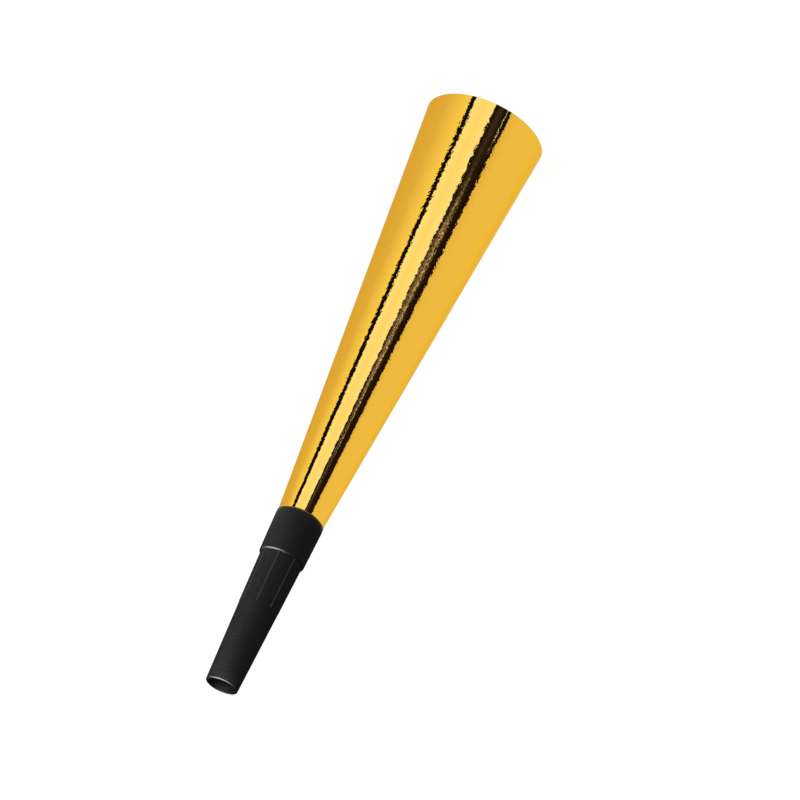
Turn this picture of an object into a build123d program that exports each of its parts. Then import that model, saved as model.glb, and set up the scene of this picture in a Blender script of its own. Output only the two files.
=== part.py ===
"""A blown party horn: a rolled foil-on-board cone, glued into a stepped plastic mouthpiece that holds a reed.

The horn stands on its wide end. The origin is the centre of the bell's rim and +Z runs up the axis to the
mouth end. Heights are measured up from the rim, and all sizes are in millimetres.
"""

from build123d import *
from math import cos, radians, sin
import os

# Overall form
overall_length = 228.6
bell_radius = 22.0

# Mouthpiece, its lengths measured down from the mouth end
mouthpiece_length = 65.0
tube_length = 49.0
mouth_radius = 5.65
tube_root_radius = 7.5
collar_step_radius = 8.05
collar_lip_radius = 8.5
mouth_bore_radius = 4.7
shoulder_bore_radius = 5.5
rim_round = 0.42
step_round = 0.4
lip_round = 0.1

# Socket in the collar that the cone's narrow end is glued into
lip_wall = 0.25
socket_web = 1.3
socket_floor_gap = 0.2

# Ribs on the tube, beside the collar
rib_count = 8
rib_length = 19.0
rib_width = 0.6
rib_height = 0.34
rib_sink = 0.6
first_rib_angle = 12.7

# Sheet that the cone is rolled from, and its glued lap
board_thickness = 0.35
foil_thickness = 0.12
glue_thickness = 0.08
lap_angle = 24.0
ramp_angle = 30.0
seam_angle = 130.0
glue_margin_angle = 2.0

# Reed holder, pressed into its seat from the cone side
seat_radius = 6.0
seat_depth = 6.4
flange_length = 5.0
flange_chamfer = 0.35
shallot_radius = 3.4
shallot_length = 24.0
trough_radius = 1.8
trough_centre_y = 0.2
trough_end_wall = 2.0
reed_face_y = 0.8

# Reed and the ring that clamps it
reed_width = 5.0
reed_thickness = 0.2
reed_tip_inset = 1.2
reed_tip_round = 0.6
reed_open_angle = 2.2
reed_split_gap = 0.05
reed_pivot_lift = 0.01
ring_radius = 4.3
ring_length = 4.0
ring_gap_to_flange = 0.5

# Heights that follow from the lengths above
lip_height = overall_length - mouthpiece_length
step_height = overall_length - tube_length
socket_floor = step_height - socket_web
cone_height = socket_floor - socket_floor_gap
seat_shoulder = socket_floor + seat_depth
flange_bottom = seat_shoulder - flange_length
shallot_tip = seat_shoulder + shallot_length
trough_end = shallot_tip - trough_end_wall
ring_bottom = seat_shoulder + ring_gap_to_flange
ring_top = ring_bottom + ring_length
reed_tip = shallot_tip - reed_tip_inset
rib_end = step_height + rib_length

# The cone's outside falls in a straight line from the rim to the collar's lip
cone_lip_radius = collar_lip_radius - lip_wall
cone_slope = (bell_radius - cone_lip_radius) / lip_height
lap_depth = foil_thickness + board_thickness + glue_thickness


def cone_radius(height):
    """Outside radius of the foil at a height above the rim."""
    return bell_radius - cone_slope * height


def tube_radius(height):
    """Outside radius of the mouthpiece's tube at a height above the rim."""
    share = (overall_length - height) / tube_length
    return mouth_radius + (tube_root_radius - mouth_radius) * share


def on_circle(radius, angle):
    """A point at that radius, its angle counted round the cone from the sheet's outer cut edge."""
    turn = radians(seam_angle + angle)
    return (radius * cos(turn), radius * sin(turn))


def along_circle(angle, sense):
    """The direction of travel round the cone at that angle, forwards for +1 and back for -1."""
    turn = radians(seam_angle + angle)
    return (-sense * sin(turn), sense * cos(turn))


def arc(radius, start, end):
    """An arc round the axis from one angle to another."""
    middle = on_circle(radius, (start + end) / 2)
    return ThreePointArc(on_circle(radius, start), middle, on_circle(radius, end))


def ramp(radius, sense):
    """The dip that carries a face of the sheet under the sheet's own outer edge."""
    ends = [(radius, 360 - ramp_angle), (radius - lap_depth, 360)][::sense]
    points = [on_circle(*end) for end in ends]
    ways = [along_circle(angle, sense) for _, angle in ends]
    return Spline(points, tangents=ways)


def rolled_section(height, depth, thickness):
    """Cross-section of one layer of the rolled sheet: nearly a full turn, a dip, and the tucked-in lap."""
    outer = cone_radius(height) - depth
    inner = outer - thickness
    lap_outer = outer - lap_depth
    lap_inner = inner - lap_depth
    lap_end = 360 + lap_angle
    with BuildSketch(Plane.XY.offset(height)) as section:
        with BuildLine():
            arc(outer, 0, 360 - ramp_angle)
            ramp(outer, 1)
            arc(lap_outer, 360, lap_end)
            Line(on_circle(lap_outer, lap_end), on_circle(lap_inner, lap_end))
            arc(lap_inner, lap_end, 360)
            ramp(inner, -1)
            arc(inner, 360 - ramp_angle, 0)
            Line(on_circle(inner, 0), on_circle(outer, 0))
        make_face()
    return section.sketch


def glue_section(height):
    """Cross-section of the glue between the sheet's outer edge and the lap tucked under it."""
    outer = cone_radius(height) - foil_thickness - board_thickness
    inner = outer - glue_thickness
    start = glue_margin_angle
    end = lap_angle - glue_margin_angle
    with BuildSketch(Plane.XY.offset(height)) as section:
        with BuildLine():
            arc(outer, start, end)
            Line(on_circle(outer, end), on_circle(inner, end))
            arc(inner, end, start)
            Line(on_circle(inner, start), on_circle(outer, start))
        make_face()
    return section.sketch


def circle_edges(part, radius):
    """The circular edges of that radius."""
    circles = part.edges().filter_by(GeomType.CIRCLE)
    return circles.filter_by(lambda edge: abs(edge.radius - radius) < 0.01)


def finish(piece, name):
    """Names a finished piece and writes its file."""
    piece.part.label = name
    export_step(piece.part, f"parts/{name}.step")


os.makedirs("parts", exist_ok=True)

# The board: one blank of card rolled into a cone, its inner edge tucked under its outer edge
with BuildPart() as cone_board:
    add(rolled_section(0, foil_thickness, board_thickness))
    add(rolled_section(cone_height, foil_thickness, board_thickness))
    loft(ruled=True)
finish(cone_board, "cone_board")

# The foil: a metallised film laminated over the whole outside of the board
with BuildPart() as foil_film:
    add(rolled_section(0, 0, foil_thickness))
    add(rolled_section(cone_height, 0, foil_thickness))
    loft(ruled=True)
finish(foil_film, "foil_film")

# The glue line that closes the lap
with BuildPart() as seam_glue:
    add(glue_section(0))
    add(glue_section(cone_height))
    loft(ruled=True)
finish(seam_glue, "seam_glue")

# One rib, which fades into the tapered tube at its far end
with BuildPart() as rib:
    with BuildSketch(Plane.XZ) as rib_side:
        with BuildLine():
            Polyline(
                (tube_root_radius - rib_sink, step_height - rib_sink),
                (tube_root_radius + rib_height, step_height - rib_sink),
                (tube_root_radius + rib_height, step_height + rib_sink),
                (tube_radius(rib_end), rib_end),
                (tube_radius(rib_end) - rib_sink, rib_end),
                close=True,
            )
        make_face()
    extrude(amount=rib_width / 2, both=True)

# The mouthpiece: a collar with a tapered socket for the cone, and a tapered tube to blow into
with BuildPart() as mouthpiece:
    with BuildSketch(Plane.XZ):
        with BuildLine():
            Polyline(
                (collar_lip_radius, lip_height),
                (collar_step_radius, step_height),
                (tube_root_radius, step_height),
                (mouth_radius, overall_length),
                (mouth_bore_radius, overall_length),
                (shoulder_bore_radius, seat_shoulder),
                (seat_radius, seat_shoulder),
                (seat_radius, socket_floor),
                (cone_radius(socket_floor), socket_floor),
                (cone_lip_radius, lip_height),
                close=True,
            )
        make_face()
    revolve(axis=Axis.Z)
    fillet(mouthpiece.edges().group_by(Axis.Z)[-1], rim_round)
    fillet(circle_edges(mouthpiece, collar_step_radius), step_round)
    fillet(circle_edges(mouthpiece, collar_lip_radius), lip_round)
    with PolarLocations(0, rib_count, start_angle=first_rib_angle):
        add(rib.part)
finish(mouthpiece, "mouthpiece")

# The reed holder: a flanged plug with a half-round trough that the reed lies over
with BuildPart() as reed_holder:
    with BuildSketch(Plane.XY.offset(flange_bottom)):
        Circle(seat_radius)
    extrude(amount=flange_length)
    chamfer(reed_holder.edges().group_by(Axis.Z)[0], flange_chamfer)
    with BuildSketch(Plane.XY.offset(seat_shoulder)) as shallot:
        Circle(shallot_radius)
        with Locations((0, reed_face_y)):
            above_face = (Align.CENTER, Align.MIN)
            Rectangle(2 * shallot_radius, 2 * shallot_radius, align=above_face, mode=Mode.SUBTRACT)
    extrude(amount=shallot_length)
    with BuildSketch(Plane.XY.offset(flange_bottom)) as trough:
        with Locations((0, trough_centre_y)):
            Circle(trough_radius)
        with Locations((0, reed_face_y)):
            Rectangle(2 * shallot_radius, 2 * shallot_radius, align=above_face, mode=Mode.SUBTRACT)
    extrude(amount=trough_end - flange_bottom, mode=Mode.SUBTRACT)
finish(reed_holder, "reed_holder")

# The clamp ring: its D-shaped bore pins the reed's root on the flat of the holder
with BuildPart() as reed_ring:
    with BuildSketch(Plane.XY.offset(ring_bottom), mode=Mode.PRIVATE) as ring_bore:
        Circle(shallot_radius)
        with Locations((0, reed_face_y + reed_thickness)):
            Rectangle(2 * shallot_radius, 2 * shallot_radius, align=above_face, mode=Mode.SUBTRACT)
    with BuildSketch(Plane.XY.offset(ring_bottom)):
        Circle(ring_radius)
    extrude(amount=ring_length)
    extrude(ring_bore.sketch, amount=ring_length, mode=Mode.SUBTRACT)
finish(reed_ring, "reed_ring")

# The reed's clamped root, from the flange to the top of the ring
with BuildPart() as reed_root:
    with BuildSketch(Plane.XY.offset(seat_shoulder)):
        with Locations((0, reed_face_y)):
            Rectangle(reed_width, reed_thickness, align=above_face)
    extrude(amount=ring_top - seat_shoulder)
finish(reed_root, "reed_root")

# The reed's free tongue, which stands a little open at its tip
hinge_y = reed_face_y + reed_thickness / 2 + reed_pivot_lift
hinge_height = ring_top + reed_split_gap
lean = radians(reed_open_angle)
tongue_base = Plane(origin=(0, hinge_y, hinge_height), x_dir=(1, 0, 0), z_dir=(0, sin(lean), cos(lean)))
with BuildPart() as reed_tongue:
    with BuildSketch(tongue_base):
        Rectangle(reed_width, reed_thickness)
    extrude(amount=reed_tip - hinge_height)
    tip_corners = reed_tongue.edges().filter_by(Axis((0, 0, 0), tongue_base.y_dir)).group_by(Axis.Z)[-1]
    fillet(tip_corners, reed_tip_round)
finish(reed_tongue, "reed_tongue")
print(f"reed hinge at y {hinge_y:.3f}, z {hinge_height:.3f}")
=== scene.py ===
"""Looks of a blown party horn, built around its packed frame.

The horn stands on its bell, with +Z running up its axis to the mouth end. All lengths are in metres.
"""

import math

import bmesh
import bpy
from mathutils import Matrix, Vector


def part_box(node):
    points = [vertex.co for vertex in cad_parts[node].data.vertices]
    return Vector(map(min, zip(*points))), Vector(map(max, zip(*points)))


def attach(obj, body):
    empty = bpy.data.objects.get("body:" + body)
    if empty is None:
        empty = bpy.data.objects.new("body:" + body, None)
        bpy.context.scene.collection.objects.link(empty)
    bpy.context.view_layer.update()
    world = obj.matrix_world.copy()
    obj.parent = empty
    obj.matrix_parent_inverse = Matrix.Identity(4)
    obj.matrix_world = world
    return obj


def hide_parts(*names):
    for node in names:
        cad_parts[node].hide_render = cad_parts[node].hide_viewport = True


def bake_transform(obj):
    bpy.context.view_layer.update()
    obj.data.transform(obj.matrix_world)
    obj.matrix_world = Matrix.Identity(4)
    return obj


bl_info = {
    "name": "Party horn",
    "version": (1, 0, 0),
    "blender": (4, 5, 0),
    "location": "3D View > Sidebar > Party horn",
    "description": "Builds the looks of a blown party horn: foil cone, mouthpiece, reed and a small studio",
    "category": "Object",
}

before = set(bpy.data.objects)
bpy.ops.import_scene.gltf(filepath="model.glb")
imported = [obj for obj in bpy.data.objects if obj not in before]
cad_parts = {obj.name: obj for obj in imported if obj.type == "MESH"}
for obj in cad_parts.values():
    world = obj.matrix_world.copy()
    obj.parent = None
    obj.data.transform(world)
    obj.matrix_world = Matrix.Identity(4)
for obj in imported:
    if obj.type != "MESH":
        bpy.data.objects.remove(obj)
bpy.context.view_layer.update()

MM = 0.001
FULL_TURN = 2 * math.pi

foil_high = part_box("foil_film")[1]
board_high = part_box("cone_board")[1]
mouthpiece_low, mouthpiece_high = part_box("mouthpiece")
holder_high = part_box("reed_holder")[1]
ring_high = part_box("reed_ring")[1]
root_low, root_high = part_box("reed_root")
tongue_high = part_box("reed_tongue")[1]


# Settings


def length(name, description, default):
    """A setting that is a length."""
    return bpy.props.FloatProperty(
        name=name,
        description=description,
        default=default,
        min=0.0,
        precision=5,
        subtype="DISTANCE",
        unit="LENGTH",
    )


def angle(name, description, degrees):
    """A setting that is an angle, its default given in degrees."""
    return bpy.props.FloatProperty(
        name=name,
        description=description,
        default=math.radians(degrees),
        subtype="ANGLE",
        unit="ROTATION",
    )


def colour(name, description, default):
    """A setting that is a colour."""
    return bpy.props.FloatVectorProperty(
        name=name,
        description=description,
        default=default,
        size=3,
        min=0.0,
        max=1.0,
        subtype="COLOR",
    )


class HornConeSettings(bpy.types.PropertyGroup):
    """Sizes of the rolled cone."""

    bell_radius: length("Bell radius", "Outside radius of the foil at the rim", foil_high.x)
    lip_radius: length("Radius at the collar", "Outside radius of the foil at the collar's lip", 8.25 * MM)
    foil_thickness: length("Foil thickness", "Thickness of the metallised film", foil_high.x - board_high.x)
    board_thickness: length("Board thickness", "Thickness of the card under the film", 0.35 * MM)
    lap_depth: length("Lap depth", "How far the tucked-in edge lies under the outer one", 0.55 * MM)
    lap_angle: angle("Lap angle", "How far round the cone the two edges overlap", 24)
    ramp_angle: angle("Ramp angle", "Stretch over which the sheet dips under its outer edge", 30)
    seam_angle: angle("Seam angle", "Where the sheet's outer cut edge lies, counted from +X", 130)
    ripple_depth: length("Ripple depth", "Depth of the shallow dents of the hand-rolled card", 0.03 * MM)
    ripple_size: length("Ripple size", "Typical size of one dent", 14 * MM)


class HornMouthpieceSettings(bpy.types.PropertyGroup):
    """Sizes of the moulded mouthpiece."""

    tube_length: length("Tube length", "From the mouth end to the step", 49 * MM)
    mouth_radius: length("Mouth radius", "Outside radius at the mouth end", 5.65 * MM)
    tube_root_radius: length("Tube root radius", "Outside radius of the tube at the step", 7.5 * MM)
    step_radius: length("Step radius", "Outside radius of the collar at the step", 8.05 * MM)
    lip_radius: length("Lip radius", "Outside radius of the collar at its lip", 8.5 * MM)
    mouth_bore_radius: length("Mouth bore radius", "Bore at the mouth end", 4.7 * MM)
    shoulder_bore_radius: length("Shoulder bore radius", "Bore at the reed holder's shoulder", 5.5 * MM)
    socket_web: length("Socket web", "Plastic between the step and the socket's floor", 1.3 * MM)
    seat_depth: length("Seat depth", "Depth of the reed holder's seat above the socket", 6.4 * MM)
    rib_count: bpy.props.IntProperty(name="Ribs", description="Ribs round the tube", default=8, min=0)
    rib_length: length("Rib length", "How far the ribs run from the step", 19 * MM)
    rib_radius: length("Rib radius", "Radius of a rib's rounded back", 0.45 * MM)
    rib_height: length("Rib height", "How far a rib stands out of the tube", 0.2 * MM)
    rib_angle: angle("Rib angle", "Where the first rib stands, counted from +X", 12.7)


class HornReedSettings(bpy.types.PropertyGroup):
    """Sizes of the reed strip."""

    thickness: length("Reed thickness", "Thickness of the strip", root_high.y - root_low.y)
    tip_round: length("Tip round", "Radius of the reed's tip corners", 0.6 * MM)
    edge_round: length("Edge round", "Rounding of the holder's and ring's moulded edges", 0.12 * MM)


class HornColourSettings(bpy.types.PropertyGroup):
    """Colours of the horn's finishes."""

    foil: colour("Foil", "Gold of the metallised film", (0.905, 0.52, 0.058))
    card: colour("Card", "Uncoated side of the board", (0.66, 0.64, 0.58))
    glue: colour("Glue", "Dried adhesive in the lap", (0.72, 0.66, 0.48))
    plastic: colour("Mouthpiece", "Black moulding", (0.0038, 0.0034, 0.0038))
    holder: colour("Reed holder", "Natural moulding of the holder and its ring", (0.74, 0.73, 0.68))
    reed: colour("Reed", "Polyester strip", (0.80, 0.82, 0.80))


class HornStageSettings(bpy.types.PropertyGroup):
    """Camera and light of the small studio."""

    camera_elevation: angle("Camera elevation", "Height of the camera above the horizon", 24.71)
    camera_roll: angle("Camera roll", "Turn of the camera about its line of sight", 205.1)
    camera_distance: length("Camera distance", "From the camera to the middle of the horn", 1.239)
    camera_lens: bpy.props.FloatProperty(
        name="Lens",
        description="Focal length of the camera",
        default=164.0,
        min=1.0,
        subtype="DISTANCE_CAMERA",
    )
    aim_right: length("Aim right", "How far the line of sight passes right of the horn's middle", 14.35 * MM)
    aim_down: length("Aim down", "How far the line of sight passes below the horn's middle", 0.51 * MM)
    floor_size: length("Floor size", "Width of the square floor", 8.0)


# Node trees


class Wiring:
    """Adds nodes to a tree and joins them up."""

    def __init__(self, tree):
        self.tree = tree

    def put(self, socket, value):
        """Links a value that is an output, and sets any other value on the socket."""
        if isinstance(value, bpy.types.NodeSocket):
            self.tree.links.new(value, socket)
        else:
            socket.default_value = value

    def add(self, kind, settings=None, inputs=None):
        """A new node with those settings, and those inputs by name or by number."""
        node = self.tree.nodes.new(kind)
        for name, value in (settings or {}).items():
            setattr(node, name, value)
        for key, value in (inputs or {}).items():
            self.put(node.inputs[key], value)
        return node

    def maths(self, kind, operation, *values):
        """The result of one maths node."""
        node = self.add(kind, {"operation": operation})
        for socket, value in zip(node.inputs, values):
            self.put(socket, value)
        return node.outputs[0]

    def number(self, operation, *values):
        """The result of a sum on plain numbers."""
        return self.maths("ShaderNodeMath", operation, *values)

    def spread(self, value, low, high, new_low, new_high, easing="LINEAR"):
        """A value carried over from one range to another, and held inside it."""
        inputs = {"Value": value, "From Min": low, "From Max": high, "To Min": new_low, "To Max": new_high}
        node = self.add("ShaderNodeMapRange", {"interpolation_type": easing}, inputs)
        return node.outputs["Result"]


def new_tree(name, kind, sockets_in, sockets_out):
    """A node group with those sockets, each given as its name and type, and its group input and output."""
    tree = bpy.data.node_groups.new(name, kind)
    for direction, sockets in (("INPUT", sockets_in), ("OUTPUT", sockets_out)):
        for socket_name, socket_type in sockets:
            tree.interface.new_socket(name=socket_name, in_out=direction, socket_type=socket_type)
    wiring = Wiring(tree)
    given = wiring.add("NodeGroupInput")
    result = wiring.add("NodeGroupOutput")
    return wiring, given.outputs, result.inputs


def rolled_point(w, side_x, side_y, radius, height):
    """The point at that radius and height, in the direction that side_x and side_y give."""
    inputs = {
        "X": w.number("MULTIPLY", side_x, radius),
        "Y": w.number("MULTIPLY", side_y, radius),
        "Z": height,
    }
    return w.add("ShaderNodeCombineXYZ", inputs=inputs).outputs[0]


def rolled_sheet_tree():
    """Geometry nodes for one layer of a sheet rolled into a cone, one edge tucked under the other."""
    # Shares of the height between which the dents fade out, because the collar holds the sheet straight
    still_from = 0.84
    still_by = 0.9
    floats = ["Bell radius", "Top radius", "Height", "Lap depth", "Lap angle", "Ramp angle", "Seam angle"]
    floats += ["Ripple depth", "Ripple scale", "Seed"]
    sockets = [(name, "NodeSocketFloat") for name in floats]
    sockets += [("Columns", "NodeSocketInt"), ("Rows", "NodeSocketInt"), ("Material", "NodeSocketMaterial")]
    w, given, result = new_tree(
        "rolled_sheet", "GeometryNodeTree", sockets, [("Geometry", "NodeSocketGeometry")]
    )
    w.tree.is_modifier = True
    grid = w.add(
        "GeometryNodeMeshGrid",
        inputs={"Size X": 1.0, "Size Y": 1.0, "Vertices X": given["Columns"], "Vertices Y": given["Rows"]},
    )
    place = w.add("ShaderNodeSeparateXYZ", inputs={0: w.add("GeometryNodeInputPosition").outputs[0]}).outputs
    around = w.number("ADD", place["X"], 0.5)
    upward = w.number("ADD", place["Y"], 0.5)
    turn = w.number("MULTIPLY", around, w.number("ADD", given["Lap angle"], FULL_TURN))
    ramp_start = w.number("SUBTRACT", FULL_TURN, given["Ramp angle"])
    dip = w.spread(turn, ramp_start, FULL_TURN, 0.0, given["Lap depth"], "SMOOTHSTEP")
    straight = w.spread(upward, 0.0, 1.0, given["Bell radius"], given["Top radius"])
    height = w.number("MULTIPLY", upward, given["Height"])
    direction = w.number("ADD", turn, given["Seam angle"])
    side_x = w.number("COSINE", direction)
    side_y = w.number("SINE", direction)
    where = rolled_point(w, side_x, side_y, straight, height)
    noise = w.add(
        "ShaderNodeTexNoise",
        {"noise_dimensions": "4D"},
        {"Vector": where, "W": given["Seed"], "Scale": given["Ripple scale"], "Detail": 1.0},
    )
    fade = w.spread(upward, still_from, still_by, 1.0, 0.0)
    ripple = w.number("MULTIPLY", w.number("MULTIPLY", noise.outputs["Fac"], given["Ripple depth"]), fade)
    radius = w.number("SUBTRACT", w.number("SUBTRACT", straight, dip), ripple)
    rolled = rolled_point(w, side_x, side_y, radius, height)
    moved = w.add("GeometryNodeSetPosition", inputs={"Geometry": grid.outputs["Mesh"], "Position": rolled})
    smooth = w.add("GeometryNodeSetShadeSmooth", inputs={"Geometry": moved.outputs[0]})
    real = w.add("GeometryNodeRealizeInstances", inputs={"Geometry": smooth.outputs[0]})
    finished = w.add(
        "GeometryNodeSetMaterial", inputs={"Geometry": real.outputs[0], "Material": given["Material"]}
    )
    w.put(result["Geometry"], finished.outputs[0])
    return w.tree


def ribs_tree():
    """Geometry nodes for rounded ribs that run up a tapered tube and sink into it at their far ends."""
    steps = 24
    sides = 16
    # Share of its length from which a rib gets thinner, and how thick its far end is beside its root
    taper_from = 0.55
    end_share = 0.4
    floats = ["Root radius", "End radius", "Start height", "End height", "Rib radius", "First angle"]
    sockets = [(name, "NodeSocketFloat") for name in floats]
    sockets += [("Count", "NodeSocketInt"), ("Material", "NodeSocketMaterial")]
    w, given, result = new_tree("ribs", "GeometryNodeTree", sockets, [("Geometry", "NodeSocketGeometry")])
    w.tree.is_modifier = True
    start = w.add("ShaderNodeCombineXYZ", inputs={"X": given["Root radius"], "Z": given["Start height"]})
    end = w.add("ShaderNodeCombineXYZ", inputs={"X": given["End radius"], "Z": given["End height"]})
    line = w.add("GeometryNodeCurvePrimitiveLine", inputs={"Start": start.outputs[0], "End": end.outputs[0]})
    stepped = w.add("GeometryNodeResampleCurve", inputs={"Curve": line.outputs[0], "Count": steps})
    along = w.add("GeometryNodeSplineParameter").outputs["Factor"]
    taper = w.spread(along, taper_from, 1.0, 1.0, end_share, "SMOOTHSTEP")
    tapered = w.add("GeometryNodeSetCurveRadius", inputs={"Curve": stepped.outputs[0], "Radius": taper})
    section = w.add(
        "GeometryNodeCurvePrimitiveCircle", inputs={"Resolution": sides, "Radius": given["Rib radius"]}
    )
    rib = w.add(
        "GeometryNodeCurveToMesh",
        inputs={"Curve": tapered.outputs[0], "Profile Curve": section.outputs[0], "Fill Caps": True},
    )
    points = w.add("GeometryNodePoints", inputs={"Count": given["Count"], "Position": (0.0, 0.0, 0.0)})
    pitch = w.number("DIVIDE", FULL_TURN, given["Count"])
    turn = w.number("MULTIPLY", w.add("GeometryNodeInputIndex").outputs[0], pitch)
    euler = w.add("ShaderNodeCombineXYZ", inputs={"Z": w.number("ADD", turn, given["First angle"])})
    rotation = w.add("FunctionNodeEulerToRotation", inputs={0: euler.outputs[0]})
    placed = w.add(
        "GeometryNodeInstanceOnPoints",
        inputs={"Points": points.outputs[0], "Instance": rib.outputs[0], "Rotation": rotation.outputs[0]},
    )
    real = w.add("GeometryNodeRealizeInstances", inputs={"Geometry": placed.outputs[0]})
    smooth = w.add("GeometryNodeSetShadeSmooth", inputs={"Geometry": real.outputs[0]})
    finished = w.add(
        "GeometryNodeSetMaterial", inputs={"Geometry": smooth.outputs[0], "Material": given["Material"]}
    )
    w.put(result["Geometry"], finished.outputs[0])
    return w.tree


def crinkle_group():
    """Shader group: the height of crinkled film, fine creases over broad ones, and a mask of dull specks."""
    sockets = [("Vector", "NodeSocketVector")]
    sockets += [("Fine scale", "NodeSocketFloat"), ("Broad scale", "NodeSocketFloat")]
    w, given, result = new_tree(
        "film_crinkle",
        "ShaderNodeTree",
        sockets,
        [("Height", "NodeSocketFloat"), ("Specks", "NodeSocketFloat")],
    )
    fine = w.add(
        "ShaderNodeTexNoise",
        inputs={"Vector": given["Vector"], "Scale": given["Fine scale"], "Detail": 1.5, "Roughness": 0.5},
    )
    broad = w.add(
        "ShaderNodeTexNoise",
        inputs={"Vector": given["Vector"], "Scale": given["Broad scale"], "Detail": 2.0, "Roughness": 0.5},
    )
    height = w.number("MULTIPLY_ADD", broad.outputs["Fac"], 1.5, fine.outputs["Fac"])
    w.put(result["Height"], height)
    w.put(result["Specks"], w.spread(fine.outputs["Fac"], 0.58, 0.72, 0.0, 1.0))
    return w.tree


def handling_group():
    """Shader group: a roughness that wanders a little, as a handled surface's does, and its patches."""
    sockets = [("Vector", "NodeSocketVector")]
    sockets += [(name, "NodeSocketFloat") for name in ("Scale", "Base", "Amount")]
    w, given, result = new_tree(
        "handling",
        "ShaderNodeTree",
        sockets,
        [("Roughness", "NodeSocketFloat"), ("Patches", "NodeSocketFloat")],
    )
    cloud = w.add(
        "ShaderNodeTexNoise",
        inputs={"Vector": given["Vector"], "Scale": given["Scale"], "Detail": 4.0, "Roughness": 0.55},
    )
    patches = w.spread(cloud.outputs["Fac"], 0.42, 0.68, 0.0, 1.0, "SMOOTHSTEP")
    w.put(result["Roughness"], w.number("MULTIPLY_ADD", patches, given["Amount"], given["Base"]))
    w.put(result["Patches"], patches)
    return w.tree


def grain_group():
    """Shader group: the fine even grain of a moulded or fibrous surface, as a height and a mask."""
    w, given, result = new_tree(
        "surface_grain",
        "ShaderNodeTree",
        [("Vector", "NodeSocketVector"), ("Scale", "NodeSocketFloat"), ("Detail", "NodeSocketFloat")],
        [("Height", "NodeSocketFloat"), ("Mask", "NodeSocketFloat")],
    )
    inputs = {name: given[name] for name in ("Vector", "Scale", "Detail")}
    noise = w.add("ShaderNodeTexNoise", inputs={**inputs, "Roughness": 0.65})
    w.put(result["Height"], noise.outputs["Fac"])
    w.put(result["Mask"], w.spread(noise.outputs["Fac"], 0.35, 0.65, 0.0, 1.0))
    return w.tree


# Materials


class Finish:
    """A material with one Principled shader, and the Object coordinates that its patterns follow."""

    def __init__(self, name, constants):
        self.material = bpy.data.materials.new(name)
        self.material.use_nodes = True
        self.wiring = Wiring(self.material.node_tree)
        self.shader = self.material.node_tree.nodes["Principled BSDF"].inputs
        self.place = self.wiring.add("ShaderNodeTexCoord").outputs["Object"]
        for socket, value in constants.items():
            self.shader[socket].default_value = value

    def group(self, tree, inputs):
        """A shared effect, placed in this material with its own values."""
        values = {"Vector": self.place}
        values.update(inputs)
        node = self.wiring.add("ShaderNodeGroup", {"node_tree": tree})
        for key, value in values.items():
            self.wiring.put(node.inputs[key], value)
        return node.outputs

    def stretched(self, scale):
        """The Object coordinates, scaled by that much on each axis."""
        return self.wiring.add("ShaderNodeMapping", inputs={"Vector": self.place, "Scale": scale}).outputs[0]

    def tint(self, mask, plain, toned):
        """The base colour goes from plain to toned with the mask."""
        mix = self.wiring.add("ShaderNodeMix", {"data_type": "RGBA"})
        self.wiring.put(mix.inputs["Factor"], mask)
        mix.inputs[6].default_value = (*plain, 1.0)
        mix.inputs[7].default_value = (*toned, 1.0)
        self.wiring.put(self.shader["Base Color"], mix.outputs[2])

    def bump(self, height, distance, strength=1.0):
        """The normal is tilted by that height."""
        inputs = {"Height": height, "Distance": distance, "Strength": strength}
        self.wiring.put(self.shader["Normal"], self.wiring.add("ShaderNodeBump", inputs=inputs).outputs[0])


def shade(rgb, factor):
    """A colour made darker or lighter by that factor."""
    return tuple(min(1.0, part * factor) for part in rgb)


def foil_finish(colours, groups):
    """Gold metallised film: mirror bright, with the fine crinkle that breaks up the edges of reflections."""
    finish = Finish("gold_foil", {"Metallic": 1.0, "Specular Tint": (1.0, 0.82, 0.45, 1.0)})
    crinkle = finish.group(groups["crinkle"], {"Fine scale": 850.0, "Broad scale": 260.0})
    handling = finish.group(groups["handling"], {"Scale": 45.0, "Base": 0.035, "Amount": 0.025})
    finish.tint(crinkle["Specks"], colours.foil, shade(colours.foil, 0.975))
    finish.wiring.put(finish.shader["Roughness"], handling["Roughness"])
    height = finish.wiring.add("ShaderNodeSeparateXYZ", inputs={"Vector": finish.place}).outputs["Z"]
    slack = finish.wiring.spread(height, 0.0, mouthpiece_low.z, 1.0, 0.42)
    finish.bump(crinkle["Height"], 0.056 * MM, slack)
    return finish.material


def card_finish(colours, groups):
    """Uncoated grey-white card, with its fibres lying along the cone."""
    finish = Finish("uncoated_card", {"Roughness": 0.92, "Specular IOR Level": 0.25})
    fibres = finish.group(
        groups["grain"], {"Vector": finish.stretched((1.0, 1.0, 0.25)), "Scale": 1600.0, "Detail": 5.0}
    )
    handling = finish.group(groups["handling"], {"Scale": 70.0, "Base": 0.88, "Amount": 0.08})
    finish.tint(fibres["Mask"], shade(colours.card, 0.86), colours.card)
    finish.wiring.put(finish.shader["Roughness"], handling["Roughness"])
    finish.bump(fibres["Height"], 0.02 * MM)
    return finish.material


def glue_finish(colours, groups):
    """Dried adhesive: yellowish, uneven and a little glossy."""
    finish = Finish("dried_glue", {"Specular IOR Level": 0.5})
    lumps = finish.group(groups["grain"], {"Scale": 420.0, "Detail": 2.0})
    handling = finish.group(groups["handling"], {"Scale": 120.0, "Base": 0.35, "Amount": 0.2})
    finish.tint(lumps["Mask"], shade(colours.glue, 0.8), colours.glue)
    finish.wiring.put(finish.shader["Roughness"], handling["Roughness"])
    finish.bump(lumps["Height"], 0.03 * MM)
    return finish.material


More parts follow.
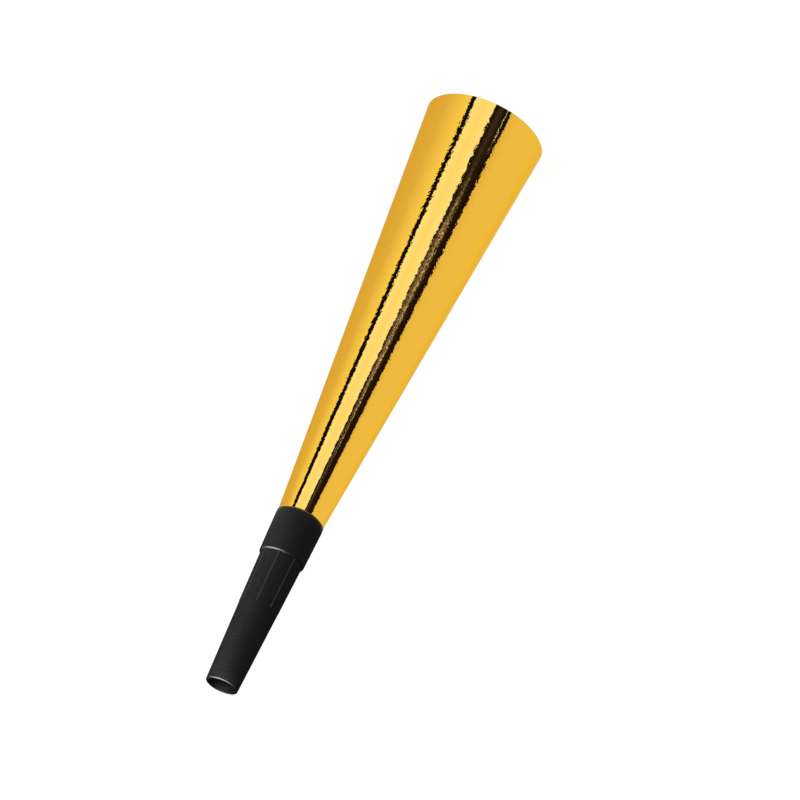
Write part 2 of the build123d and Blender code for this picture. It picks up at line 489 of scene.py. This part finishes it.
def plastic_finish(colours, groups, name="black_moulding", paleness=1.0, roughness=0.27):
    """Satin black moulding with a fine spark-eroded grain."""
    plain = shade(colours.plastic, paleness)
    fingered = shade(colours.plastic, 1.06 * paleness)
    finish = Finish(name, {"Specular IOR Level": 0.5})
    grain = finish.group(groups["grain"], {"Scale": 2600.0, "Detail": 2.0})
    handling = finish.group(groups["handling"], {"Scale": 85.0, "Base": roughness, "Amount": 0.015})
    finish.tint(handling["Patches"], plain, fingered)
    finish.wiring.put(finish.shader["Roughness"], handling["Roughness"])
    finish.bump(grain["Height"], 0.002 * MM)
    return finish.material


def rib_sheen_finish(colours, groups):
    """The same moulding on the ribs, duller, with a paler grey that is a painted sheen for the light lines
    along them.
    """
    return plastic_finish(colours, groups, "rib_sheen_moulding", paleness=3.6, roughness=0.34)


def holder_finish(colours, groups):
    """Natural polythene moulding: off-white, waxy and slightly see-through."""
    scatter = (1.2 * MM, 1.1 * MM, 0.9 * MM)
    finish = Finish("natural_moulding", {"Subsurface Weight": 0.25, "Subsurface Radius": scatter})
    grain = finish.group(groups["grain"], {"Scale": 1400.0, "Detail": 3.0})
    handling = finish.group(groups["handling"], {"Scale": 160.0, "Base": 0.36, "Amount": 0.12})
    finish.tint(grain["Mask"], shade(colours.holder, 0.95), colours.holder)
    finish.wiring.put(finish.shader["Roughness"], handling["Roughness"])
    finish.bump(grain["Height"], 0.006 * MM)
    return finish.material


def reed_finish(colours, groups):
    """Polyester strip: smooth, pale and faintly scuffed along its length."""
    finish = Finish("polyester_strip", {"Specular IOR Level": 0.55})
    scuffs = finish.group(
        groups["grain"], {"Vector": finish.stretched((1.0, 1.0, 0.06)), "Scale": 2400.0, "Detail": 2.0}
    )
    handling = finish.group(groups["handling"], {"Scale": 200.0, "Base": 0.16, "Amount": 0.12})
    finish.tint(scuffs["Mask"], shade(colours.reed, 0.93), colours.reed)
    finish.wiring.put(finish.shader["Roughness"], handling["Roughness"])
    finish.bump(scuffs["Height"], 0.003 * MM)
    return finish.material


FINISHES = {
    "gold_foil": foil_finish,
    "uncoated_card": card_finish,
    "dried_glue": glue_finish,
    "black_moulding": plastic_finish,
    "rib_sheen_moulding": rib_sheen_finish,
    "natural_moulding": holder_finish,
    "polyester_strip": reed_finish,
}
GROUPS = {
    "crinkle": ("film_crinkle", crinkle_group),
    "handling": ("handling", handling_group),
    "grain": ("surface_grain", grain_group),
}


def tree_named(name, build):
    """A node tree, built the first time it is asked for."""
    return bpy.data.node_groups.get(name) or build()


def finish_named(name):
    """A material of this horn, built the first time it is asked for."""
    found = bpy.data.materials.get(name)
    if found:
        return found
    groups = {key: tree_named(*entry) for key, entry in GROUPS.items()}
    return FINISHES[name](bpy.context.scene.horn_colours, groups)


# Mesh helpers


def new_object(name, mesh):
    """An object for that mesh, linked to the scene."""
    thing = bpy.data.objects.new(name, mesh)
    bpy.context.scene.collection.objects.link(thing)
    return thing


def set_inputs(modifier, values):
    """Sets a geometry nodes modifier's inputs, found by the name of their sockets."""
    for item in modifier.node_group.interface.items_tree:
        if item.item_type == "SOCKET" and item.in_out == "INPUT":
            modifier[item.identifier] = values[item.name]


def made_plain(thing):
    """Turns what the object's modifiers make into its own mesh, kept above the floor, and removes them."""
    view = bpy.context.evaluated_depsgraph_get()
    view.update()
    mesh = bpy.data.meshes.new_from_object(thing.evaluated_get(view), depsgraph=view)
    mesh.name = thing.name
    for vert in mesh.vertices:
        vert.co.z = max(vert.co.z, 0.0)
    thing.modifiers.clear()
    thing.data = mesh
    return thing


def from_tree(name, tree, values):
    """An object whose modifier runs that geometry nodes tree."""
    thing = new_object(name, bpy.data.meshes.new(name))
    modifier = thing.modifiers.new("Geometry Nodes", "NODES")
    modifier.node_group = tree
    set_inputs(modifier, values)
    return thing


def rounded(profile, steps=6):
    """The closed outline through corners given as x, y and rounding, with an arc at each rounded one."""
    corners = [corner[:2] for corner in profile]
    outline = []
    for index, (x, y, radius) in enumerate(profile):
        here = Vector((x, y))
        if radius == 0:
            outline.append(here)
            continue
        back = (Vector(corners[index - 1]) - here).normalized()
        ahead = (Vector(corners[(index + 1) % len(corners)]) - here).normalized()
        half = back.angle(ahead) / 2
        centre = here + (back + ahead).normalized() * radius / math.sin(half)
        start = here + back * radius / math.tan(half) - centre
        end = here + ahead * radius / math.tan(half) - centre
        for step in range(steps + 1):
            outline.append(centre + start.slerp(end, step / steps).normalized() * radius)
    return outline


def lathe(name, outline, segments):
    """A closed outline of radius and height, turned about the Z axis."""
    shell = bmesh.new()
    rings = []
    for segment in range(segments):
        turn = FULL_TURN * segment / segments
        across, along = math.cos(turn), math.sin(turn)
        ring = [shell.verts.new((radius * across, radius * along, height)) for radius, height in outline]
        rings.append(ring)
    for ring, after in zip(rings, rings[1:] + rings[:1]):
        for index in range(len(outline)):
            before = index - 1
            shell.faces.new((ring[before], after[before], after[index], ring[index]))
    bmesh.ops.recalc_face_normals(shell, faces=shell.faces)
    mesh = bpy.data.meshes.new(name)
    shell.to_mesh(mesh)
    shell.free()
    return new_object(name, mesh)


def shade_smooth(thing, sharp_degrees=35):
    """Smooth shading with sharp edges kept where two faces meet at more than that."""
    thing.data.shade_smooth()
    thing.data.set_sharp_from_angle(angle=math.radians(sharp_degrees))
    return thing


def softened_copy(node, name, edge_round):
    """A copy of a CAD node with its triangles merged to clean faces and its edges rounded."""
    copy = bmesh.new()
    copy.from_mesh(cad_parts[node].data)
    bmesh.ops.remove_doubles(copy, verts=copy.verts, dist=0.001 * MM)
    flat = math.radians(0.5)
    bmesh.ops.dissolve_limit(copy, angle_limit=flat, verts=copy.verts, edges=copy.edges)
    mesh = bpy.data.meshes.new(name)
    copy.to_mesh(mesh)
    copy.free()
    thing = new_object(name, mesh)
    bevel = thing.modifiers.new("Moulded edges", "BEVEL")
    bevel.width = edge_round
    bevel.segments = 3
    bevel.limit_method = "ANGLE"
    bevel.angle_limit = math.radians(40)
    return shade_smooth(made_plain(thing))


def dressed(thing, finish, body, slot, *replaced):
    """Gives a finished piece its material and its body, and hides the CAD nodes that it stands for. The slot
    is not used.
    """
    thing.data.materials.clear()
    thing.data.materials.append(finish_named(finish))
    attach(thing, body)
    if replaced:
        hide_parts(*replaced)
    return thing


# Cone geometry that the pieces and the studio share


def cone_radius(height):
    """Outside radius of the foil at a height above the floor."""
    cone = bpy.context.scene.horn_cone
    return cone.bell_radius + (cone.lip_radius - cone.bell_radius) * height / mouthpiece_low.z


# Operators


class PARTY_HORN_OT_cone(bpy.types.Operator):
    """Rolls the card and the foil film over it into the horn's cone"""

    bl_idname = "party_horn.cone"
    bl_label = "Rolled cone"

    def execute(self, context):
        cone = context.scene.horn_cone
        tree = tree_named("rolled_sheet", rolled_sheet_tree)
        layers = [
            ("horn_foil", "foil_film", "gold_foil", "foil", 0.0, cone.foil_thickness),
            ("horn_board", "cone_board", "uncoated_card", "card", cone.foil_thickness, cone.board_thickness),
        ]
        for name, node, finish, slot, depth, thickness in layers:
            values = {
                "Bell radius": cone.bell_radius - depth,
                "Top radius": cone_radius(foil_high.z) - depth,
                "Height": foil_high.z,
                "Lap depth": cone.lap_depth,
                "Lap angle": cone.lap_angle,
                "Ramp angle": cone.ramp_angle,
                "Seam angle": cone.seam_angle,
                "Ripple depth": cone.ripple_depth,
                "Ripple scale": 1 / cone.ripple_size,
                "Seed": 7.0,
                "Columns": 385,
                "Rows": 90,
                "Material": finish_named(finish),
            }
            thing = from_tree(name, tree, values)
            wall = thing.modifiers.new("Sheet thickness", "SOLIDIFY")
            wall.thickness = thickness
            wall.offset = -1.0
            wall.use_rim = True
            dressed(shade_smooth(made_plain(thing)), finish, "horn", slot, node)
        return {"FINISHED"}


class PARTY_HORN_OT_seam_glue(bpy.types.Operator):
    """Gives the glue line in the lap its finish"""

    bl_idname = "party_horn.seam_glue"
    bl_label = "Seam glue"

    def execute(self, context):
        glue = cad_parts["seam_glue"]
        glue.data.materials.clear()
        glue.data.materials.append(finish_named("dried_glue"))
        return {"FINISHED"}


class PARTY_HORN_OT_mouthpiece(bpy.types.Operator):
    """Turns the black mouthpiece and sets its ribs round the tube"""

    bl_idname = "party_horn.mouthpiece"
    bl_label = "Mouthpiece"

    def execute(self, context):
        sizes = context.scene.horn_mouthpiece
        top = mouthpiece_high.z
        lip = mouthpiece_low.z
        step = top - sizes.tube_length
        floor = step - sizes.socket_web
        shoulder = floor + sizes.seat_depth
        lip_round = 0.12 * MM
        step_round = 0.4 * MM
        crease_round = 0.12 * MM
        rim_round = 0.42 * MM
        bore_round = 0.06 * MM
        shoulder_round = 0.1 * MM
        profile = [
            (sizes.lip_radius, lip, lip_round),
            (sizes.step_radius, step, step_round),
            (sizes.tube_root_radius, step, crease_round),
            (sizes.mouth_radius, top, rim_round),
            (sizes.mouth_bore_radius, top, bore_round),
            (sizes.shoulder_bore_radius, shoulder, shoulder_round),
            (holder_high.x, shoulder, 0.0),
            (holder_high.x, floor, 0.0),
            (cone_radius(floor), floor, 0.0),
            (cone_radius(lip), lip, 0.0),
        ]
        segments = 192
        shell = shade_smooth(lathe("mouthpiece_shell", rounded(profile), segments))
        dressed(shell, "black_moulding", "horn", "black_plastic", "mouthpiece")
        taper = (sizes.tube_root_radius - sizes.mouth_radius) / sizes.tube_length
        rib_end = step + sizes.rib_length
        sink = sizes.rib_radius - sizes.rib_height
        end_sink = 0.2 * MM
        values = {
            "Root radius": sizes.tube_root_radius - sink,
            "End radius": sizes.tube_root_radius - taper * sizes.rib_length - end_sink,
            "Start height": step - sizes.rib_radius,
            "End height": rib_end,
            "Rib radius": sizes.rib_radius,
            "First angle": sizes.rib_angle,
            "Count": sizes.rib_count,
            # The ribs' finish is paler than the tube's: a painted sheen for the light lines along them
            "Material": finish_named("rib_sheen_moulding"),
        }
        ribs = made_plain(from_tree("mouthpiece_ribs", tree_named("ribs", ribs_tree), values))
        dressed(shade_smooth(ribs, 50), "rib_sheen_moulding", "horn", "black_plastic", "mouthpiece")
        return {"FINISHED"}


class PARTY_HORN_OT_reed_holder(bpy.types.Operator):
    """Rounds the moulded edges of the reed holder and its clamp ring"""

    bl_idname = "party_horn.reed_holder"
    bl_label = "Reed holder and ring"

    def execute(self, context):
        edge_round = context.scene.horn_reed.edge_round
        for node, name in (("reed_holder", "holder_plug"), ("reed_ring", "clamp_ring")):
            piece = softened_copy(node, name, edge_round)
            dressed(piece, "natural_moulding", "horn", "holder_plastic", node)
        return {"FINISHED"}


class PARTY_HORN_OT_reed(bpy.types.Operator):
    """Cuts the reed strip, whose tongue curls open past the clamp ring"""

    bl_idname = "party_horn.reed"
    bl_label = "Reed"

    def execute(self, context):
        sizes = context.scene.horn_reed
        rows = 56
        tip_steps = 8
        half_width = root_high.x
        bottom = root_low.z
        top = tongue_high.z
        bend_start = ring_high.z
        free_length = top - bend_start
        tip_offset = tongue_high.y - sizes.thickness - root_low.y
        strip = bmesh.new()
        rows_made = []
        shoulder = top - sizes.tip_round
        outline = [(bottom + (shoulder - bottom) * row / rows, 0.0) for row in range(rows)]
        for step in range(tip_steps + 1):
            turn = math.pi / 2 * step / tip_steps
            height = shoulder + sizes.tip_round * math.sin(turn)
            outline.append((height, sizes.tip_round * (1 - math.cos(turn))))
        for height, inset in outline:
            share = max(0.0, height - bend_start) / free_length
            face = root_low.y + tip_offset * share
            x = half_width - inset
            corners = [(-x, face), (x, face), (x, face + sizes.thickness), (-x, face + sizes.thickness)]
            rows_made.append([strip.verts.new((*corner, height)) for corner in corners])
        for row, after in zip(rows_made, rows_made[1:]):
            for index in range(4):
                before = index - 1
                strip.faces.new((row[before], row[index], after[index], after[before]))
        strip.faces.new(rows_made[0][::-1])
        strip.faces.new(rows_made[-1])
        bmesh.ops.recalc_face_normals(strip, faces=strip.faces)
        mesh = bpy.data.meshes.new("reed_strip")
        strip.to_mesh(mesh)
        strip.free()
        reed = shade_smooth(new_object("reed_strip", mesh))
        reed.data.materials.append(finish_named("polyester_strip"))
        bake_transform(reed)
        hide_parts("reed_root", "reed_tongue")
        return {"FINISHED"}


class PARTY_HORN_OT_stage(bpy.types.Operator):
    """Sets the pale floor, the soft lights, the reflected cards and the camera"""

    bl_idname = "party_horn.stage"
    bl_label = "Studio"

    def execute(self, context):
        stage = context.scene.horn_stage
        eye = place_camera(stage)
        lay_floor(stage)
        light_world()
        hang_key_light()
        lay_floor_cards(eye)
        lay_streak_lines(eye)
        pitch_round_mouthpiece("mouthpiece_tent", TENT_STOPS, TENT_ROWS)
        pitch_round_mouthpiece("mouth_band", BAND_STOPS, BAND_ROWS)
        context.scene.view_settings.view_transform = "Standard"
        return {"FINISHED"}


# The studio


def place_camera(stage):
    """The camera looks down on the horn and is rolled, so that the mouth end comes low and to the left."""
    back = Vector((0, -math.cos(stage.camera_elevation), math.sin(stage.camera_elevation)))
    level = Vector((1, 0, 0))
    upright = back.cross(level)
    right = level * math.cos(stage.camera_roll) + upright * math.sin(stage.camera_roll)
    up = back.cross(right)
    middle = Vector((0, 0, mouthpiece_high.z / 2))
    eye = middle + right * stage.aim_right - up * stage.aim_down + back * stage.camera_distance
    data = bpy.data.cameras.new("Camera")
    data.lens = stage.camera_lens
    camera = bpy.data.objects.new("Camera", data)
    bpy.context.scene.collection.objects.link(camera)
    turn = Matrix((right, up, back)).transposed().to_4x4()
    camera.matrix_world = Matrix.Translation(eye) @ turn
    bpy.context.scene.camera = camera
    return eye


def lay_floor(stage):
    """A plain pale floor with a little glow of its own, as over-lit white paper has."""
    half = stage.floor_size / 2
    corners = [(-half, -half, 0), (half, -half, 0), (half, half, 0), (-half, half, 0)]
    mesh = bpy.data.meshes.new("floor")
    mesh.from_pydata(corners, [], [(0, 1, 2, 3)])
    floor = new_object("floor", mesh)
    material = bpy.data.materials.new("pale_floor")
    material.use_nodes = True
    shader = material.node_tree.nodes["Principled BSDF"].inputs
    shader["Base Color"].default_value = (0.06, 0.06, 0.06, 1.0)
    shader["Roughness"].default_value = 1.0
    shader["Specular IOR Level"].default_value = 0.0
    shader["Emission Color"].default_value = (1.0, 1.0, 1.0, 1.0)
    shader["Emission Strength"].default_value = 0.95
    mesh.materials.append(material)


def light_world():
    """Even white light from all round."""
    world = bpy.data.worlds.new("studio")
    world.use_nodes = True
    background = world.node_tree.nodes["Background"].inputs
    background["Color"].default_value = (1.0, 1.0, 1.0, 1.0)
    background["Strength"].default_value = 0.95
    bpy.context.scene.world = world


def hang_key_light():
    """A softbox high on the left of the mouth end, which lights that side of the mouthpiece and its ribs."""
    width = 0.5
    depth = 0.25
    watts = 16.0
    from_mouth = Vector((0.62, -0.08, 0.66))
    data = bpy.data.lights.new("softbox", "AREA")
    data.shape = "RECTANGLE"
    data.size = width
    data.size_y = depth
    data.energy = watts
    light = bpy.data.objects.new("softbox", data)
    light.visible_glossy = False
    bpy.context.scene.collection.objects.link(light)
    light.location = Vector((0, 0, mouthpiece_high.z)) + from_mouth
    light.rotation_euler = (-from_mouth).to_track_quat("-Z", "Y").to_euler()


def glanced_to_floor(eye, height, across):
    """Where a line from the eye that glances off the cone meets the floor.

    The angle across is counted from the side of the cone that faces the camera.
    """
    radius = cone_radius(height)
    outward = Vector((-math.sin(across), -math.cos(across), 0))
    cone = bpy.context.scene.horn_cone
    slope = (cone.bell_radius - cone.lip_radius) / mouthpiece_low.z
    normal = (outward + Vector((0, 0, slope))).normalized()
    point = outward * radius + Vector((0, 0, height))
    sight = (point - eye).normalized()
    bounce = sight - 2 * sight.dot(normal) * normal
    return point - bounce * (point.z / bounce.z)


# What the foil mirrors, from left to right across the side that faces the camera. Each stop gives the angle
# across the cone at the bell and at the collar, and the glow there. A second glow is for the middle of the
# cone's height, where it differs from the ends.
FOIL_STOPS = [
    (-84.0, -84.0, (0.70, 0.62, 0.50)),
    (-70.0, -70.0, (0.80, 0.74, 0.66)),
    (-48.0, -50.0, (0.83, 0.77, 0.68)),
    (-34.0, -40.0, (0.98, 0.98, 0.90)),
    (-23.9, -31.3, (1.06, 1.15, 1.05)),
    (-23.6, -31.0, (0.007, 0.003, 0.0)),
    (-19.3, -23.3, (0.007, 0.003, 0.0)),
    (-19.1, -23.1, (1.12, 1.40, 3.20)),
    (-10.0, -12.5, (1.10, 1.30, 2.30)),
    (-0.2, -0.2, (1.12, 1.40, 3.20)),
    (0.2, 0.2, (0.007, 0.003, 0.0)),
    (2.6, 2.6, (0.016, 0.012, 0.02), (0.03, 0.03, 0.06)),
    (5.5, 5.5, (0.042, 0.042, 0.12), (0.06, 0.06, 0.16)),
    (9.5, 8.6, (0.02, 0.016, 0.04)),
    (15.8, 18.6, (0.009, 0.004, 0.0)),
    (16.1, 18.9, (0.86, 0.84, 0.82)),
    (25.0, 25.0, (0.95, 0.94, 0.88)),
    (60.0, 60.0, (0.96, 0.95, 0.88)),
    (84.0, 84.0, (0.84, 0.82, 0.70)),
]
# Thin lines in the dark streaks: the angle across the cone, their width in degrees, where they start and end
# as shares of the cone's height, and their glow
FOIL_LINES = [
    (1.8, 0.5, 0.30, 0.66, (0.32, 0.33, 1.00)),
    (3.2, 0.5, 0.26, 0.74, (0.42, 0.43, 1.40)),
    (4.9, 0.6, 0.20, 0.80, (0.74, 0.74, 2.20)),
    (6.7, 0.8, 0.14, 0.92, (0.88, 0.86, 2.50)),
    (8.7, 0.6, 0.20, 0.64, (0.36, 0.35, 1.00)),
    (3.8, 0.5, 0.60, 1.08, (0.28, 0.29, 1.80)),
    (12.3, 0.55, -0.08, 0.11, (0.90, 1.15, 3.20)),
]
# What the mouthpiece mirrors, by the angle round it from the camera's side, positive to the camera's right:
# the glow of the card close round the collar, of the wider one below the tube, and of the high window that
# draws the lines along its rims
TENT_STOPS = [
    (-180.0, 0.0, 0.0, 0.0),
    (-158.0, 0.01, 0.01, 0.0),
    (-130.0, 0.07, 0.07, 4.0),
    (-100.0, 0.25, 0.19, 17.0),
    (-60.0, 0.38, 0.215, 17.0),
    (-30.0, 0.29, 0.15, 11.0),
    (0.0, 0.145, 0.10, 1.5),
    (30.0, 0.10, 0.112, 0.0),
    (70.0, 0.06, 0.08, 0.0),
    (110.0, 0.035, 0.04, 0.0),
    (180.0, 0.0, 0.0, 0.0),
]
# The tent's radius, its height above the collar's lip, and which of those glows it takes there, 0 for black
TENT_ROWS = [
    (10.5 * MM, -0.9 * MM, 1),
    (27 * MM, 5.9 * MM, 1),
    (52 * MM, 16.2 * MM, 2),
    (200 * MM, 72 * MM, 2),
    (200 * MM, 150 * MM, 3),
    (200 * MM, 380 * MM, 3),
    (60 * MM, 450 * MM, 0),
]
# A band close above the mouth end. It is black on the left, where it hides the window from the mouth's rim,
# and bright in the middle, where it carries the rim's line further round.
BAND_STOPS = [
    (-180.0, 0.0),
    (-125.0, 0.0),
    (-100.0, 1.0),
    (-85.0, 3.5),
    (-65.0, 8.0),
    (-45.0, 17.0),
    (-20.0, 22.0),
    (0.0, 19.0),
    (25.0, 13.0),
    (50.0, 3.2),
    (70.0, 1.2),
    (90.0, 0.0),
    (180.0, 0.0),
]
BAND_ROWS = [(16 * MM, 66.5 * MM, 1), (16 * MM, 78 * MM, 1)]


def between(low, high, share):
    """Numbers part of the way from one tuple to another."""
    return tuple(a + (b - a) * share for a, b in zip(low, high))


def steps_along(stops, step):
    """Neighbouring stops and the shares of the way between them, in steps of at most that many degrees."""
    for left, right in zip(stops, stops[1:]):
        parts = math.ceil((right[0] - left[0]) / step)
        for part in range(parts + 1):
            yield left, right, part / parts


def glow_sheet(name, columns, glows):
    """A sheet through columns of points that glows with its own colours, and that only reflections show."""
    cards = bmesh.new()
    glow = cards.verts.layers.float_color.new("glow")
    made = []
    for column, column_glows in zip(columns, glows):
        verts = [cards.verts.new(point) for point in column]
        for vert, value in zip(verts, column_glows):
            vert[glow] = (*value, 1.0)
        made.append(verts)
    for left, right in zip(made, made[1:]):
        for row in range(len(left) - 1):
            cards.faces.new((left[row], right[row], right[row + 1], left[row + 1]))
    mesh = bpy.data.meshes.new(name)
    cards.to_mesh(mesh)
    cards.free()
    thing = new_object(name, mesh)
    thing.visible_camera = False
    thing.visible_diffuse = False
    thing.visible_shadow = False
    thing.visible_transmission = False
    mesh.materials.append(glowing_material())


def glowing_material():
    """A card that glows with the colour written on its mesh."""
    found = bpy.data.materials.get("glowing_cards")
    if found:
        return found
    material = bpy.data.materials.new("glowing_cards")
    material.use_nodes = True
    material.node_tree.nodes.clear()
    w = Wiring(material.node_tree)
    attribute = w.add("ShaderNodeAttribute", {"attribute_name": "glow"})
    emission = w.add("ShaderNodeEmission", inputs={"Color": attribute.outputs["Color"]})
    output = w.add("ShaderNodeOutputMaterial")
    w.put(output.inputs["Surface"], emission.outputs[0])
    return material


def lay_floor_cards(eye):
    """Dark, pale and graded cards on the floor round the bell, which run up the foil as streaks."""
    rows = 30
    step = 2.0
    past_collar = 1.2
    middle_height = 0.42
    middle_spread = 0.24
    lift = Vector((0, 0, 0.05 * MM))
    columns = []
    glows = []
    for left, right, share in steps_along(FOIL_STOPS, step):
        at_bell, at_collar = between(left[:2], right[:2], share)
        at_ends = between(left[2], right[2], share)
        at_middle = between(left[-1], right[-1], share)
        column = []
        column_glows = []
        for row in range(rows + 1):
            up = past_collar * row / rows
            across = math.radians(at_bell + (at_collar - at_bell) * up)
            nearness = math.exp(-(((up - middle_height) / middle_spread) ** 2))
            column.append(glanced_to_floor(eye, mouthpiece_low.z * up, across) + lift)
            column_glows.append(between(at_ends, at_middle, nearness))
        columns.append(column)
        glows.append(column_glows)
    glow_sheet("floor_cards", columns, glows)


def lay_streak_lines(eye):
    """Thin glowing lines just above the floor cards, which the crinkled foil breaks into specks."""
    rows = 30
    fading_share = 0.25
    lift = Vector((0, 0, 0.1 * MM))
    for index, (across, width, start, end, glow) in enumerate(FOIL_LINES):
        columns = []
        glows = []
        for turn in (across - width / 2, across + width / 2):
            column = []
            column_glows = []
            for row in range(rows + 1):
                share = row / rows
                height = mouthpiece_low.z * (start + (end - start) * share)
                fade = min(1.0, share / fading_share, (1 - share) / fading_share)
                column.append(glanced_to_floor(eye, height, math.radians(turn)) + lift)
                column_glows.append(tuple(part * fade for part in glow))
            columns.append(column)
            glows.append(column_glows)
        glow_sheet(f"streak_line_{index + 1}", columns, glows)


def pitch_round_mouthpiece(name, stops, rows):
    """A card all round the mouthpiece, whose reflection models the black moulding.

    The stops give the angle and the glows there. The rows give the radius, the height above the collar's lip
    and which glow to take.
    """
    step = 5.0
    columns = []
    glows = []
    for left, right, share in steps_along(stops, step):
        degrees, *glow = between(left, right, share)
        turn = math.radians(degrees)
        choices = [0.0, *glow]
        columns.append(
            [
                (-radius * math.sin(turn), -radius * math.cos(turn), mouthpiece_low.z + above_lip)
                for radius, above_lip, which in rows
            ]
        )
        glows.append([(choices[which],) * 3 for radius, above_lip, which in rows])
    glow_sheet(name, columns, glows)


# Panel and registration

STEPS = (
    PARTY_HORN_OT_stage,
    PARTY_HORN_OT_cone,
    PARTY_HORN_OT_seam_glue,
    PARTY_HORN_OT_mouthpiece,
    PARTY_HORN_OT_reed_holder,
    PARTY_HORN_OT_reed,
)
SETTINGS = {
    "horn_cone": HornConeSettings,
    "horn_mouthpiece": HornMouthpieceSettings,
    "horn_reed": HornReedSettings,
    "horn_colours": HornColourSettings,
    "horn_stage": HornStageSettings,
}


class PARTY_HORN_PT_panel(bpy.types.Panel):
    """Lists the horn's steps and its settings"""

    bl_idname = "PARTY_HORN_PT_panel"
    bl_label = "Party horn"
    bl_space_type = "VIEW_3D"
    bl_region_type = "UI"
    bl_category = "Party horn"

    def draw(self, context):
        for step in STEPS:
            self.layout.operator(step.bl_idname)
        for name, group in SETTINGS.items():
            box = self.layout.box()
            box.label(text=group.__doc__)
            for setting in group.__annotations__:
                box.prop(getattr(context.scene, name), setting)


def register():
    for name, group in SETTINGS.items():
        bpy.utils.register_class(group)
        setattr(bpy.types.Scene, name, bpy.props.PointerProperty(type=group))
    for step in STEPS:
        bpy.utils.register_class(step)
    bpy.utils.register_class(PARTY_HORN_PT_panel)


def unregister():
    bpy.utils.unregister_class(PARTY_HORN_PT_panel)
    for step in reversed(STEPS):
        bpy.utils.unregister_class(step)
    for name, group in SETTINGS.items():
        delattr(bpy.types.Scene, name)
        bpy.utils.unregister_class(group)


def main():
    register()
    for step in STEPS:
        category, _, action = step.bl_idname.partition(".")
        getattr(getattr(bpy.ops, category), action)()


if __name__ == "__main__":
    main()
